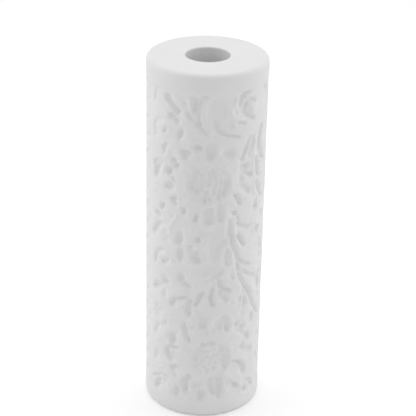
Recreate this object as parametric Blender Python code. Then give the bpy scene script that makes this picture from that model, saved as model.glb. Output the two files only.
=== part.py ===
"""Clay texture roller: one hollow cylinder of cast resin with a floral pattern in low relief.

The roller stands on its lower end face, with its axis on +Z and the middle of one repeat towards -Y.
The pattern is drawn on one flat repeat, as heights above the ground, and the repeat is laid round
the cylinder REPEATS_AROUND times. Along the repeat, 0 is its middle, which faces -Y, and x grows
to the right; y grows from the lower plain band to the upper one.
"""

import math

import bpy
import numpy as np

# Driving sizes, in metres.
OUTER_DIAMETER = 0.0381
LENGTH = 0.119888
BORE_DIAMETER = 0.01397
RIM_RADIUS = 0.0015
BORE_EDGE_RADIUS = 0.0004
LOWER_BAND = 0.0050
UPPER_BAND = 0.0059
BAND_COVE = 0.0014
BAND_EDGE = 0.0004
RELIEF_DEPTH = 0.0012
REPEATS_AROUND = 2

# Sizes of the pattern's motifs.
UPPER_DAISY_DISC_RADIUS = 0.0062
UPPER_DAISY_RADIUS = 0.0146
UPPER_DAISY_PETAL_WIDTH = 0.0046
UPPER_DAISY_PETALS = 18
LOWER_DAISY_DISC_RADIUS = 0.0061
LOWER_DAISY_RADIUS = 0.0168
LOWER_DAISY_PETAL_WIDTH = 0.0066
LOWER_DAISY_PETALS = 14
LOWER_DAISY_TURN = 9
DISC_GROOVE_WIDTH = 0.0012
BLOSSOM_RADIUS = 0.0070
BLOSSOM_PETAL_WIDTH = 0.0048
BLOSSOM_PETALS = 4
BLOSSOM_EYE_RADIUS = 0.0010
BUD_RADIUS = 0.0050
BUD_EYE_RADIUS = 0.0016
LEAF_WIDTH = 0.0060
VEIN_WIDTH = 0.0009
STEM_WIDTH = 0.0030
GROOVE_WIDTH = 0.0015
POCKET_LENGTH = 0.0040
POCKET_WIDTH = 0.0022
VOLUTE_EYE_RADIUS = 0.0030

# The vine that climbs where two repeats meet.
VINE_OFFSET = 0.0009
VINE_SWAY = 0.0005
VINE_WAVE_HEIGHT = 0.0270
VINE_STEM_WIDTH = 0.0024
VINE_LEAF_LENGTH = 0.0078
VINE_LEAF_WIDTH = 0.0042
VINE_LEAF_SPACING = 0.0058
VINE_LEAF_ANGLE = 52
VINE_LEAF_BOW_SHARE = 0.08

# How finely the surface is first drawn, and how many triangles are kept of it.
RING_SIDES = 76
COLUMNS_PER_REPEAT = 2 * RING_SIDES
SOFTENING_PASSES = 1
ROUNDING_STEPS = 3
KEPT_TRIANGLES = 12400

RADIUS = OUTER_DIAMETER / 2
BORE_RADIUS = BORE_DIAMETER / 2
REPEAT_WIDTH = math.pi * OUTER_DIAMETER / REPEATS_AROUND
PATTERN_HEIGHT = LENGTH - LOWER_BAND - UPPER_BAND
PATTERN_ROWS = round(PATTERN_HEIGHT * COLUMNS_PER_REPEAT / REPEAT_WIDTH) + 1

# Heights and depths as shares of the relief's depth.
WEB_SHARE = 0.18
VEIN_SHARE = 0.30
GROOVE_SHARE = 0.85
DISC_GROOVE_SHARE = 0.70
EYE_SHARE = 0.60

# Middles of the round motifs: shares of the repeat's width and of the pattern's height.
UPPER_DAISY_SHARE = (0.020, 0.728)
LOWER_DAISY_SHARE = (0.045, 0.155)
BLOSSOM_SHARE = (-0.095, 0.527)
BUD_SHARE = (-0.248, 0.873)
VOLUTE_EYE_SHARE = (0.275, 0.940)

# Leaves: root x, y, tip x, y, width as a share of LEAF_WIDTH, bow as a share of the leaf's length.
LEAF_SHARES = [
    # the fan beside the C-scroll
    (-0.130, 0.905, -0.365, 0.960, 1.40, 0.10),
    (-0.090, 0.900, -0.190, 0.995, 0.93, -0.04),
    (-0.075, 0.905, -0.113, 0.995, 0.55, -0.06),
    (-0.056, 0.905, -0.062, 0.990, 0.45, 0.00),
    (-0.010, 0.880, -0.150, 0.855, 0.85, 0.05),
    (-0.030, 0.893, -0.150, 0.900, 0.70, -0.08),
    # between the bud and the upper daisy
    (-0.140, 0.850, -0.240, 0.835, 0.90, 0.00),
    (0.060, 0.850, 0.200, 0.850, 0.80, -0.05),
    (-0.215, 0.790, -0.235, 0.850, 0.75, 0.00),
    # left of the upper daisy
    (-0.240, 0.690, -0.245, 0.800, 1.10, -0.06),
    (-0.270, 0.795, -0.400, 0.835, 0.95, 0.05),
    (-0.200, 0.680, -0.345, 0.705, 1.05, 0.06),
    (-0.215, 0.635, -0.400, 0.665, 1.05, 0.06),
    # left of the blossom
    (-0.190, 0.590, -0.290, 0.560, 0.80, 0.05),
    (-0.190, 0.550, -0.380, 0.535, 1.15, 0.06),
    (-0.180, 0.510, -0.370, 0.510, 0.90, 0.06),
    (-0.140, 0.470, -0.265, 0.490, 0.75, -0.10),
    (-0.120, 0.450, -0.360, 0.445, 1.30, 0.04),
    (-0.180, 0.425, -0.360, 0.405, 1.00, 0.00),
    (-0.040, 0.405, -0.235, 0.372, 1.25, 0.06),
    # left of the lower daisy
    (-0.220, 0.350, -0.400, 0.325, 1.20, 0.08),
    (-0.110, 0.355, -0.190, 0.310, 0.80, 0.10),
    (-0.150, 0.305, -0.370, 0.255, 1.10, 0.08),
    (-0.220, 0.245, -0.400, 0.205, 1.10, 0.08),
    (-0.250, 0.185, -0.410, 0.150, 1.15, 0.06),
    (-0.220, 0.125, -0.390, 0.090, 1.10, 0.06),
    (-0.130, 0.060, -0.290, 0.005, 0.95, -0.06),
    # leaflets below the stems
    (0.080, 0.440, -0.100, 0.388, 0.87, -0.06),
    (0.050, 0.420, -0.080, 0.315, 1.00, 0.02),
    (0.060, 0.425, 0.020, 0.318, 0.77, 0.06),
    (0.085, 0.425, 0.190, 0.330, 1.00, 0.10),
    (0.095, 0.435, 0.200, 0.385, 0.90, -0.06),
    # leaves to the right of the stems
    (0.190, 0.620, 0.370, 0.655, 1.20, -0.06),
    (0.200, 0.600, 0.420, 0.595, 1.05, 0.04),
    (0.210, 0.545, 0.400, 0.500, 1.10, 0.06),
    (0.215, 0.500, 0.400, 0.440, 1.15, 0.06),
    (0.220, 0.460, 0.380, 0.375, 0.90, -0.04),
    (0.220, 0.400, 0.235, 0.300, 0.73, 0.06),
    # the feathered leaf along the broad rib
    (0.300, 0.880, 0.430, 0.850, 0.90, -0.08),
    (0.325, 0.830, 0.440, 0.795, 0.97, -0.08),
    (0.325, 0.790, 0.440, 0.740, 0.97, -0.08),
    (0.330, 0.750, 0.430, 0.690, 0.90, -0.08),
    # right of the lower daisy
    (0.190, 0.290, 0.330, 0.285, 1.10, 0.00),
    (0.260, 0.225, 0.440, 0.235, 1.07, 0.06),
    (0.290, 0.130, 0.440, 0.150, 1.00, 0.06),
    (0.290, 0.065, 0.440, 0.095, 1.00, 0.06),
]

# Stems and scrolls: width at the start and at the end as shares of STEM_WIDTH, then the course.
STEM_SHARES = [
    # the C-scroll and its long foot
    (0.87, 1.10, [(0.025, 0.990), (0.000, 0.986), (-0.020, 0.965), (-0.026, 0.940), (-0.012, 0.912),
                  (0.025, 0.890), (0.090, 0.880), (0.190, 0.885), (0.290, 0.878)]),
    # the volute's outer turn and its inner one
    (0.95, 0.95, [(0.240, 0.900), (0.180, 0.908), (0.148, 0.930), (0.142, 0.953), (0.160, 0.980),
                  (0.200, 0.995), (0.260, 0.997), (0.320, 0.985)]),
    (0.60, 0.80, [(0.200, 0.935), (0.208, 0.960), (0.225, 0.978), (0.262, 0.984), (0.310, 0.968)]),
    # the slanting stem at the left
    (1.00, 0.67, [(-0.370, 0.560), (-0.290, 0.588), (-0.210, 0.610), (-0.150, 0.642), (-0.100, 0.672)]),
    # the bundle of stems below the upper daisy
    (0.73, 0.93, [(0.135, 0.655), (0.120, 0.600), (0.124, 0.545), (0.122, 0.500), (0.085, 0.450)]),
    (0.80, 1.20, [(0.160, 0.650), (0.160, 0.600), (0.170, 0.555), (0.195, 0.500), (0.205, 0.440),
                  (0.255, 0.390), (0.290, 0.340), (0.370, 0.290), (0.430, 0.250)]),
    (0.73, 1.20, [(0.165, 0.640), (0.172, 0.600), (0.180, 0.560), (0.215, 0.517), (0.270, 0.490)]),
    # the broad rib at the right and the thin stems beside it
    (1.20, 1.45, [(0.325, 0.880), (0.310, 0.820), (0.295, 0.770), (0.305, 0.720), (0.325, 0.670),
                  (0.370, 0.620)]),
    (0.67, 0.53, [(0.300, 0.870), (0.262, 0.825), (0.225, 0.790)]),
]

# Pockets down to the ground: middle x, y, length and width as shares of POCKET_LENGTH and
# POCKET_WIDTH, and the angle of the length in degrees.
POCKET_SHARES = [
    # round the fan and the bud
    (-0.211, 0.963, 1.40, 1.25, -40),
    (-0.190, 0.917, 0.85, 1.30, -35),
    (-0.143, 0.877, 0.95, 0.85, 62),
    (-0.247, 0.822, 0.80, 0.80, 60),
    # the open ground inside the C-scroll
    (0.062, 0.945, 2.30, 3.60, 90),
    (0.107, 0.912, 1.50, 1.40, -28),
    # at the tips of the upper daisy's petals
    (-0.115, 0.818, 0.85, 0.90, 80),
    (-0.048, 0.837, 0.75, 0.70, 100),
    (0.023, 0.831, 1.15, 1.30, 90),
    (0.138, 0.817, 0.95, 1.45, -50),
    (-0.182, 0.789, 0.75, 1.00, -30),
    (0.211, 0.794, 0.75, 0.65, -15),
    (-0.208, 0.745, 0.85, 0.80, 100),
    (-0.211, 0.704, 0.85, 1.10, 70),
    (-0.182, 0.667, 0.80, 0.90, 70),
    (-0.123, 0.640, 0.80, 0.70, 85),
    (-0.052, 0.620, 0.95, 0.65, 78),
    (0.023, 0.631, 1.65, 1.45, 90),
    (0.094, 0.636, 1.10, 0.75, 90),
    (0.174, 0.629, 0.60, 0.80, -30),
    (0.203, 0.663, 1.05, 0.75, 95),
    (0.253, 0.692, 0.90, 0.90, -30),
    (0.253, 0.740, 1.15, 0.95, -10),
    # left of the upper daisy and down past the blossom
    (-0.300, 0.745, 1.65, 1.10, 62),
    (-0.266, 0.636, 0.80, 0.80, 80),
    (-0.307, 0.603, 1.05, 0.85, -17),
    (-0.320, 0.563, 1.45, 0.65, 38),
    (-0.148, 0.551, 1.25, 1.35, 85),
    (-0.042, 0.554, 0.70, 1.00, -60),
    (-0.141, 0.498, 1.15, 1.20, 95),
    (-0.052, 0.495, 1.05, 0.90, 105),
    (-0.294, 0.483, 1.20, 0.60, 32),
    (-0.242, 0.460, 1.00, 0.65, 27),
    (-0.135, 0.421, 0.80, 1.20, -40),
    (-0.237, 0.394, 0.85, 0.75, -10),
    (-0.294, 0.367, 1.75, 0.90, 27),
    (-0.086, 0.331, 1.15, 0.70, 82),
    # between the stems and the right-hand leaves
    (0.035, 0.500, 2.60, 1.60, 80),
    (0.081, 0.525, 0.60, 0.90, 0),
    (0.143, 0.588, 0.85, 0.50, 90),
    (0.336, 0.620, 1.00, 1.00, 100),
    (0.333, 0.551, 1.00, 0.70, 5),
    (0.232, 0.337, 0.80, 0.60, 80),
    # at the tips of the lower daisy's petals
    (-0.297, 0.284, 1.10, 0.75, 33),
    (-0.107, 0.249, 1.40, 1.00, 100),
    (-0.003, 0.283, 0.95, 1.00, 90),
    (0.112, 0.273, 1.20, 1.60, 60),
    (0.336, 0.256, 0.80, 0.80, 95),
    (0.242, 0.237, 0.90, 1.00, -30),
    (0.294, 0.203, 0.65, 0.85, -40),
    (-0.182, 0.214, 0.75, 1.05, 90),
    (-0.219, 0.154, 1.10, 1.05, 80),
    (-0.307, 0.216, 1.05, 0.85, 55),
    (0.300, 0.159, 1.50, 0.70, -25),
    (0.263, 0.097, 1.35, 1.00, -55),
    (0.206, 0.048, 0.70, 0.80, -35),
    (0.075, 0.068, 1.30, 1.50, 90),
    (0.284, 0.019, 0.50, 0.65, 60),
]

# Grooves: width as a share of GROOVE_WIDTH, then the course.
GROOVE_SHARES = [
    # round the bud, and along the top of the fan
    (0.90, [(-0.320, 0.839), (-0.341, 0.862), (-0.328, 0.885), (-0.307, 0.898), (-0.273, 0.904)]),
    (0.80, [(-0.320, 0.971), (-0.300, 0.986), (-0.263, 0.996)]),
    (0.70, [(-0.044, 0.963), (-0.047, 0.934), (-0.039, 0.911)]),
    # within the volute
    (1.00, [(0.188, 0.951), (0.190, 0.968), (0.200, 0.977), (0.213, 0.983)]),
    (1.10, [(0.281, 0.960), (0.263, 0.967), (0.242, 0.968), (0.224, 0.961), (0.213, 0.948),
            (0.212, 0.934), (0.224, 0.923), (0.253, 0.914), (0.284, 0.908)]),
    # under the C-scroll's foot
    (0.70, [(0.102, 0.875), (0.154, 0.871), (0.190, 0.865), (0.221, 0.862)]),
    # right of the broad rib
    (1.35, [(0.344, 0.851), (0.341, 0.825), (0.362, 0.802), (0.393, 0.788)]),
    (1.10, [(0.312, 0.765), (0.320, 0.740), (0.333, 0.722), (0.340, 0.696), (0.360, 0.672)]),
    # among the stems and the right-hand leaves
    (0.95, [(0.206, 0.588), (0.221, 0.577), (0.258, 0.572), (0.294, 0.572)]),
    (1.00, [(0.203, 0.551), (0.221, 0.534), (0.250, 0.517)]),
    (0.90, [(0.213, 0.474), (0.242, 0.463), (0.284, 0.451)]),
    (0.80, [(0.240, 0.437), (0.263, 0.421), (0.305, 0.408)]),
    (1.00, [(0.213, 0.425), (0.227, 0.411), (0.258, 0.380)]),
    (0.90, [(0.273, 0.354), (0.310, 0.325), (0.341, 0.300), (0.383, 0.277)]),
    # among the leaflets
    (1.00, [(0.050, 0.391), (0.042, 0.365), (0.057, 0.337)]),
    (0.95, [(0.088, 0.410), (0.092, 0.397), (0.107, 0.388), (0.133, 0.382), (0.159, 0.380)]),
    (1.15, [(0.094, 0.377), (0.112, 0.360), (0.138, 0.348)]),
    (1.00, [(-0.195, 0.322), (-0.190, 0.334), (-0.169, 0.345), (-0.143, 0.349)]),
    # round the lower daisy
    (1.05, [(-0.200, 0.102), (-0.169, 0.115), (-0.133, 0.117)]),
    (1.15, [(-0.081, 0.091), (-0.112, 0.071), (-0.102, 0.036)]),
    (1.20, [(-0.300, 0.022), (-0.284, 0.045), (-0.247, 0.056), (-0.206, 0.071)]),
]


def clear_scene():
    for item in list(bpy.data.objects):
        bpy.data.objects.remove(item, do_unlink=True)


def place(x_share, y_share):
    """A point of the flat repeat, in metres."""
    return np.array([x_share * REPEAT_WIDTH, y_share * PATTERN_HEIGHT])


def smooth_course(corners, steps=10):
    """Points of a Catmull-Rom curve through the corners."""
    p = np.array([2 * corners[0] - corners[1], *corners, 2 * corners[-1] - corners[-2]])
    t = np.linspace(0, 1, steps, endpoint=False)[:, None]
    runs = []
    for before, start, end, after in zip(p, p[1:], p[2:], p[3:]):
        runs.append(start + (end - before) * t / 2
                    + (2 * before - 5 * start + 4 * end - after) * t ** 2 / 2
                    + (3 * start - before - 3 * end + after) * t ** 3 / 2)
    return np.concatenate([*runs, corners[-1][None]])


class Relief:
    """Heights of one repeat, from 0 at the ground to 1 at the crests."""

    def __init__(self):
        columns = np.arange(COLUMNS_PER_REPEAT) / COLUMNS_PER_REPEAT - 0.5
        rows = np.linspace(0, 1, PATTERN_ROWS)
        self.x, self.y = np.meshgrid(columns * REPEAT_WIDTH, rows * PATTERN_HEIGHT)
        self.height = np.full_like(self.x, WEB_SHARE)

    def offset(self, point):
        """Distances right of and above a point, the short way round the repeat."""
        right = (self.x - point[0] + REPEAT_WIDTH / 2) % REPEAT_WIDTH - REPEAT_WIDTH / 2
        return right, self.y - point[1]

    def local(self, middle, angle):
        """Distances along and across a line through the middle at an angle."""
        right, above = self.offset(middle)
        return (right * math.cos(angle) + above * math.sin(angle),
                above * math.cos(angle) - right * math.sin(angle))

    def add(self, shape):
        self.height = np.maximum(self.height, shape)

    def cut(self, shape):
        self.height = self.height * (1 - shape)

    def blade(self, root, tip, width, bow=0.0, fullest=0.5):
        """A petal or leaf: pointed ends, round back, and a vein down its middle.

        Bow bends it sideways, as a share of its length, and fullest is where it is widest.
        """
        run = tip - root
        length = math.hypot(*run)
        along, across = self.local(root, math.atan2(run[1], run[0]))
        t = np.clip(along / length, 0.001, 0.999)
        across = across - 4 * bow * length * t * (1 - t)
        plan = np.sin(math.pi * t ** (math.log(0.5) / math.log(fullest))) ** 0.85
        back = np.clip(1 - (across / (plan * width / 2)) ** 2, 0, 1) ** 0.36
        vein = VEIN_SHARE * np.exp(-(2 * across / VEIN_WIDTH) ** 2) * np.clip(4 - 4 * t, 0, 1)
        inside = (along > 0) & (along < length)
        self.add(np.where(inside, back * np.clip(2.5 * plan, 0, 1) * (1 - vein), 0))

    def flower(self, middle, count, root_radius, tip_radius, width, turn=0.0, fullest=0.5):
        for k in range(count):
            angle = 2 * math.pi * k / count + turn
            out = np.array([math.cos(angle), math.sin(angle)])
            self.blade(middle + out * root_radius, middle + out * tip_radius, width, fullest=fullest)

    def dome(self, middle, radius):
        right, above = self.offset(middle)
        self.add(np.clip(1 - (right ** 2 + above ** 2) / radius ** 2, 0, 1) ** 0.4)

    def ring_groove(self, middle, radius, width, depth):
        right, above = self.offset(middle)
        self.cut(depth * np.exp(-(2 * (np.hypot(right, above) - radius) / width) ** 2))

    def pocket(self, middle, length, width, angle=0.0, depth=1.0):
        along, across = self.local(middle, angle)
        inside = np.clip(1 - (2 * along / length) ** 2 - (2 * across / width) ** 2, 0, 1)
        self.cut(depth * np.clip(1.8 * inside, 0, 1) ** 0.8)

    def distance(self, course, start_width, end_width):
        """Distance to a course, as a share of the half width there."""
        widths = np.linspace(start_width, end_width, len(course)) / 2
        nearest = np.full_like(self.x, np.inf)
        for a, b, wide_a, wide_b in zip(course, course[1:], widths, widths[1:]):
            right, above = self.offset(a)
            run = b - a
            t = np.clip((right * run[0] + above * run[1]) / (run @ run), 0, 1)
            gap = np.hypot(right - t * run[0], above - t * run[1])
            nearest = np.minimum(nearest, gap / (wide_a + (wide_b - wide_a) * t))
        return nearest

    def stem(self, course, start_width, end_width):
        self.add(np.clip(1 - self.distance(course, start_width, end_width) ** 2, 0, 1) ** 0.5)

    def groove(self, course, width):
        self.cut(GROOVE_SHARE * np.clip(1.5 - 1.5 * self.distance(course, width, width) ** 2, 0, 1))

    def soften(self):
        """Rounds every edge a little, as casting does."""
        for _ in range(SOFTENING_PASSES):
            h = self.height
            h = (np.roll(h, 1, axis=1) + 2 * h + np.roll(h, -1, axis=1)) / 4
            up, down = np.vstack([h[1:], h[-1:]]), np.vstack([h[:1], h[:-1]])
            self.height = (up + 2 * h + down) / 4


def course_of(shares):
    return smooth_course([place(*share) for share in shares])


def draw_vine(relief):
    """A wavy stem along the edge of the repeat, with a leaf on each side at every step."""
    def stem_point(y):
        sway = VINE_SWAY * math.sin(2 * math.pi * y / VINE_WAVE_HEIGHT)
        return np.array([REPEAT_WIDTH / 2 + VINE_OFFSET + sway, y])

    steps = int(PATTERN_HEIGHT / VINE_LEAF_SPACING)
    roots = [stem_point(PATTERN_HEIGHT * k / steps) for k in range(steps + 1)]
    relief.stem(smooth_course(roots), VINE_STEM_WIDTH, VINE_STEM_WIDTH)
    for k, root in enumerate(roots[:-1]):
        for side in (-1, 1):
            lean = math.radians(VINE_LEAF_ANGLE) * side
            tip = root + VINE_LEAF_LENGTH * np.array([math.sin(lean), math.cos(lean)])
            relief.blade(root, tip, VINE_LEAF_WIDTH, bow=-VINE_LEAF_BOW_SHARE * side)


def draw_pattern():
    relief = Relief()
    upper = place(*UPPER_DAISY_SHARE)
    lower = place(*LOWER_DAISY_SHARE)
    blossom = place(*BLOSSOM_SHARE)
    bud = place(*BUD_SHARE)

    for x0, y0, x1, y1, width, bow in LEAF_SHARES:
        relief.blade(place(x0, y0), place(x1, y1), width * LEAF_WIDTH, bow)
    for start, end, shares in STEM_SHARES:
        relief.stem(course_of(shares), start * STEM_WIDTH, end * STEM_WIDTH)
    relief.flower(upper, UPPER_DAISY_PETALS, UPPER_DAISY_DISC_RADIUS / 2, UPPER_DAISY_RADIUS,
                  UPPER_DAISY_PETAL_WIDTH)
    relief.flower(lower, LOWER_DAISY_PETALS, LOWER_DAISY_DISC_RADIUS / 2, LOWER_DAISY_RADIUS,
                  LOWER_DAISY_PETAL_WIDTH, turn=math.radians(LOWER_DAISY_TURN))
    relief.flower(blossom, BLOSSOM_PETALS, 0, BLOSSOM_RADIUS, BLOSSOM_PETAL_WIDTH, fullest=0.58)
    relief.dome(bud, BUD_RADIUS)
    relief.dome(place(*VOLUTE_EYE_SHARE), VOLUTE_EYE_RADIUS)

    for x, y, length, width, angle in POCKET_SHARES:
        relief.pocket(place(x, y), length * POCKET_LENGTH, width * POCKET_WIDTH, math.radians(angle))
    for width, shares in GROOVE_SHARES:
        relief.groove(course_of(shares), width * GROOVE_WIDTH)
    for middle, radius in ((blossom, BLOSSOM_EYE_RADIUS), (bud, BUD_EYE_RADIUS)):
        relief.pocket(middle, 2 * radius, 2 * radius, depth=EYE_SHARE)

    for middle, radius in ((upper, UPPER_DAISY_DISC_RADIUS), (lower, LOWER_DAISY_DISC_RADIUS)):
        relief.ring_groove(middle, radius, DISC_GROOVE_WIDTH, DISC_GROOVE_SHARE)
        relief.dome(middle, radius - DISC_GROOVE_WIDTH / 2)

    draw_vine(relief)
    relief.soften()

    # The ends of the pattern rise to the plain bands in a soft cove.
    edge = np.clip(np.minimum(relief.y, PATTERN_HEIGHT - relief.y) / BAND_COVE, 0, 1)
    rise = edge * edge * (3 - 2 * edge)
    return 1 - (1 - relief.height) * rise


def ring(radius, z, sides):
    """Points round the axis, the first where two repeats meet, then on to the right of -Y."""
    angles = 2 * math.pi * np.arange(sides) / sides - math.pi / REPEATS_AROUND
    z = np.full(sides, z)
    return np.column_stack([radius * np.sin(angles), -radius * np.cos(angles), z])


def carved_rings():
    """The patterned wall as rings of points, from the lower band up."""
    pattern = np.tile(draw_pattern(), (1, REPEATS_AROUND))
    heights = np.linspace(LOWER_BAND, LENGTH - UPPER_BAND, PATTERN_ROWS)
    radii = RADIUS - RELIEF_DEPTH * (1 - pattern)
    return [ring(row, z, len(row)) for row, z in zip(radii, heights)]


def rounded(start, corner, end):
    """A quarter round from start to end, given as (radius, z), that replaces the sharp corner."""
    start, corner, end = (np.array(point) for point in (start, corner, end))
    centre = start + end - corner
    turns = np.linspace(0, math.pi / 2, ROUNDING_STEPS + 1)
    return [centre + (start - centre) * math.cos(t) + (end - centre) * math.sin(t) for t in turns]


def plain_rings():
    """The rest of the section: over the upper end, down the bore and round the lower end."""
    rim = RADIUS - RIM_RADIUS
    mouth = BORE_RADIUS + BORE_EDGE_RADIUS
    section = [
        (RADIUS, LENGTH - UPPER_BAND + BAND_EDGE),
        *rounded((RADIUS, LENGTH - RIM_RADIUS), (RADIUS, LENGTH), (rim, LENGTH)),
        *rounded((mouth, LENGTH), (BORE_RADIUS, LENGTH), (BORE_RADIUS, LENGTH - BORE_EDGE_RADIUS)),
        *rounded((BORE_RADIUS, BORE_EDGE_RADIUS), (BORE_RADIUS, 0), (mouth, 0)),
        *rounded((rim, 0), (RADIUS, 0), (RADIUS, RIM_RADIUS)),
        (RADIUS, LOWER_BAND - BAND_EDGE),
    ]
    return [ring(radius, z, RING_SIDES) for radius, z in section]


def faces_between(low, high):
    """Faces that join two rings of vertex numbers; one ring may be a whole number of times finer."""
    sides = min(len(low), len(high))
    step_low, step_high = len(low) // sides, len(high) // sides
    faces = []
    for k in range(sides):
        under = [low[(k * step_low + i) % len(low)] for i in range(step_low + 1)]
        over = [high[(k * step_high + i) % len(high)] for i in range(step_high, -1, -1)]
        faces.append(under + over)
    return faces


def matte_white():
    material = bpy.data.materials.new("matte_white_resin")
    material.use_nodes = True
    shader = material.node_tree.nodes["Principled BSDF"]
    shader.inputs["Base Color"].default_value = (0.80, 0.80, 0.80, 1.0)
    shader.inputs["Roughness"].default_value = 0.55
    shader.inputs["Metallic"].default_value = 0.0
    return material


def roller_body():
    """The whole roller, drawn finely and then thinned where the surface is even."""
    carved = carved_rings()
    rings = carved + plain_rings()
    starts = np.cumsum([0] + [len(points) for points in rings])
    numbers = [list(range(a, b)) for a, b in zip(starts, starts[1:])]
    faces = []
    for low, high in zip(numbers, numbers[1:] + numbers[:1]):
        faces += faces_between(low, high)

    mesh = bpy.data.meshes.new("roller_body")
    mesh.from_pydata(np.concatenate(rings).tolist(), [], faces)
    mesh.shade_smooth()
    mesh.set_sharp_from_angle(angle=math.radians(60))
    mesh.materials.append(matte_white())
    body = bpy.data.objects.new("roller_body", mesh)
    bpy.context.scene.collection.objects.link(body)

    pattern = body.vertex_groups.new(name="pattern")
    pattern.add(range(int(starts[len(carved)])), 1.0, "REPLACE")
    thin(body, pattern, KEPT_TRIANGLES / sum(len(face) - 2 for face in faces))
    return body


def thin(body, group, kept_share):
    """Keeps a share of the triangles, fewest where the surface is even, with no point past the crests."""
    thinning = body.modifiers.new("thinning", "DECIMATE")
    thinning.ratio = kept_share
    thinning.vertex_group = group.name
    evaluated = body.evaluated_get(bpy.context.evaluated_depsgraph_get())
    body.data = bpy.data.meshes.new_from_object(evaluated)
    body.modifiers.clear()
    for vertex in body.data.vertices:
        radius = math.hypot(vertex.co.x, vertex.co.y)
        if radius > RADIUS:
            vertex.co.x *= RADIUS / radius
            vertex.co.y *= RADIUS / radius


clear_scene()
roller_body()
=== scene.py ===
import math

import bmesh
import bpy
from mathutils import Matrix, Vector


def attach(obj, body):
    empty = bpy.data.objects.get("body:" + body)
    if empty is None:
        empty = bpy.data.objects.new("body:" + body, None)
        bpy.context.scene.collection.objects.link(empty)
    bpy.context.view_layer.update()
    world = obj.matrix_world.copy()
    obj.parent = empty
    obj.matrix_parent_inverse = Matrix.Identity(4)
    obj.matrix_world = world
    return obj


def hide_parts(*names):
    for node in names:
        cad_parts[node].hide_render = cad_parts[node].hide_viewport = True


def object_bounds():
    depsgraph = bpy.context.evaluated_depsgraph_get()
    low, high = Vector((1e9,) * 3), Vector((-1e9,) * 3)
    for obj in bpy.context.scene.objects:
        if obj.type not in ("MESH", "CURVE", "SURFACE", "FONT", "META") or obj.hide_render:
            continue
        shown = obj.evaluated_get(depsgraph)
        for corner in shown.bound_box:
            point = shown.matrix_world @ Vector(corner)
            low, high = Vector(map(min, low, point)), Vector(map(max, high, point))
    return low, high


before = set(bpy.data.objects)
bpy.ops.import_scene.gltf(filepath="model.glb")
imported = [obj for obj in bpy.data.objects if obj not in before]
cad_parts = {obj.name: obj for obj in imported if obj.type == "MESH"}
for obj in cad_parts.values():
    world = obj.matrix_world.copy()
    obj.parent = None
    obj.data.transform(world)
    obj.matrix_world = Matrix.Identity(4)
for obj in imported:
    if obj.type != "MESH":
        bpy.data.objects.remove(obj)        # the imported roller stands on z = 0, with its axis on Z
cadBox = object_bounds()

mm = 0.001
tiny = 0.001             # keeps roots and quotients away from zero
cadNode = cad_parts["roller_body"]
cadRadii = [math.hypot(v.co.x, v.co.y) for v in cadNode.data.vertices]
outerRadius = max(cadRadii)
boreRadius = min(cadRadii)
rollerLength = cadBox[1].z - cadBox[0].z


def addObject(name, data):
    item = bpy.data.objects.new(name, data)
    bpy.context.scene.collection.objects.link(item)
    return item


# the photo's viewpoint, as a pinhole fitted to the outline; angles in degrees, focal length in photo pixels
cameraSettings = {
    "place": (0.0, -422.0 * mm, 267.1 * mm),
    "yaw": 0.13,
    "pitch": 25.31,
    "roll": 1.17,
    "focalPixels": 1444.0,
    "photoPixels": 416,
    "sensor": 36.0,              # its width in mm
    "nearest": 10 * mm,
    "farthest": 20.0,
}


def makeCamera():
    s = cameraSettings
    data = bpy.data.cameras.new("photoView")
    data.sensor_width = s["sensor"]
    data.lens = s["focalPixels"] / s["photoPixels"] * s["sensor"]
    data.clip_start, data.clip_end = s["nearest"], s["farthest"]
    camera = addObject("photoView", data)
    yaw, pitch, roll = (math.radians(s[key]) for key in ("yaw", "pitch", "roll"))
    level = Matrix.Rotation(-yaw, 4, "Z") @ Matrix.Rotation(math.pi / 2 - pitch, 4, "X")
    camera.matrix_world = Matrix.Translation(s["place"]) @ level @ Matrix.Rotation(roll, 4, "Z")
    bpy.context.scene.camera = camera


# the wall that the pattern is cut into
wall = {
    "lowerBand": 5.0 * mm,
    "upperBand": 5.9 * mm,
    "cove": 1.3 * mm,            # how far the pattern takes to rise to the plain bands
    "reliefDepth": 1.2 * mm,
    "repeats": 2,                # copies of the pattern round the wall
    "webHeight": 0.64,           # the leafy web between the motifs, as a share of the depth
    "sideShift": 0.65 * mm,      # how far a form lies from the place where its lit side is seen
    "shiftShare": 0.05,          # over this share of the repeat the shift sets in, from the middle
    "rimRound": 1.5 * mm,
    "boreRound": 0.4 * mm,
    "hold": 0.25 * mm,           # a row this close to a rounding keeps its shading crisp
    "cornerSteps": 4,
    "columns": 312,              # steps round the wall
    "rowStep": 0.375 * mm,
    "blurSteps": 1,
}
repeatWidth = 2 * math.pi * outerRadius / wall["repeats"]
patternHeight = rollerLength - wall["lowerBand"] - wall["upperBand"]


def flat(x, y):
    # thousandths of the repeat's width and of the pattern's height, to metres on the flat layout
    return x / 1000 * repeatWidth, y / 1000 * patternHeight


def litFlat(x, y):
    # the same for a form read by its dark or bright side, which lies off the form, away from the middle
    shift = wall["sideShift"] * math.tanh(x / 1000 / wall["shiftShare"])
    return x / 1000 * repeatWidth - shift, y / 1000 * patternHeight


class Field:
    # a socket in a node tree: sums, products and powers of its numbers become Math nodes
    def __init__(self, tree, socket):
        self.tree, self.socket = tree, socket

    def math(self, operation, *others):
        item = self.tree.nodes.new("ShaderNodeMath")
        item.operation = operation
        for slot, value in zip(item.inputs, (self, *others)):
            feed(self.tree, slot, value)
        return Field(self.tree, item.outputs[0])

    def __add__(self, other):
        return self.math("ADD", other)

    def __sub__(self, other):
        return self.math("SUBTRACT", other)

    def __rsub__(self, other):
        return self.math("MULTIPLY", -1.0).math("ADD", other)

    def __mul__(self, other):
        return self.math("MULTIPLY", other)

    def __truediv__(self, other):
        return self.math("DIVIDE", other)

    def __pow__(self, other):
        return self.math("POWER", other)

    def atLeast(self, least):
        return self.math("MAXIMUM", least)

    def atMost(self, most):
        return self.math("MINIMUM", most)


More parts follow.
